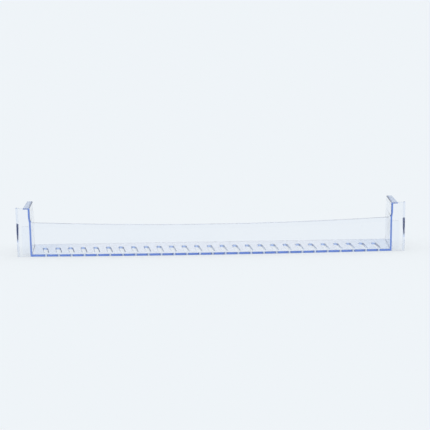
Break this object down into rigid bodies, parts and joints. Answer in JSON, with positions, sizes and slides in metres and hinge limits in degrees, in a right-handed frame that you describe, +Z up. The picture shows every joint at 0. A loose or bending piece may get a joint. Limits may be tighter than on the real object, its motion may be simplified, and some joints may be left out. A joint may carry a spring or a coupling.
{
  "type": "refrigerator door shelf",
  "caption": "Clear blue-tinted door shelf moulded in one piece: bowed front panel with raised ears, slotted floor, leaning end walls and a pocket behind each ear for the door liner's lugs.",
  "frame": {"origin": "middle of the bounding box in X and Y, on the underside of the floor", "axes": "+X along the front panel, -Y out of the front panel towards the user, +Z up"},
  "size_m": [0.457, 0.1, 0.057],
  "materials": {
    "clear_plastic": "polished clear polystyrene with a pale blue tint that deepens along the edges"
  },
  "bodies": {
    "root": {"door_shelf": "clear_plastic"}
  },
  "joints": []
}
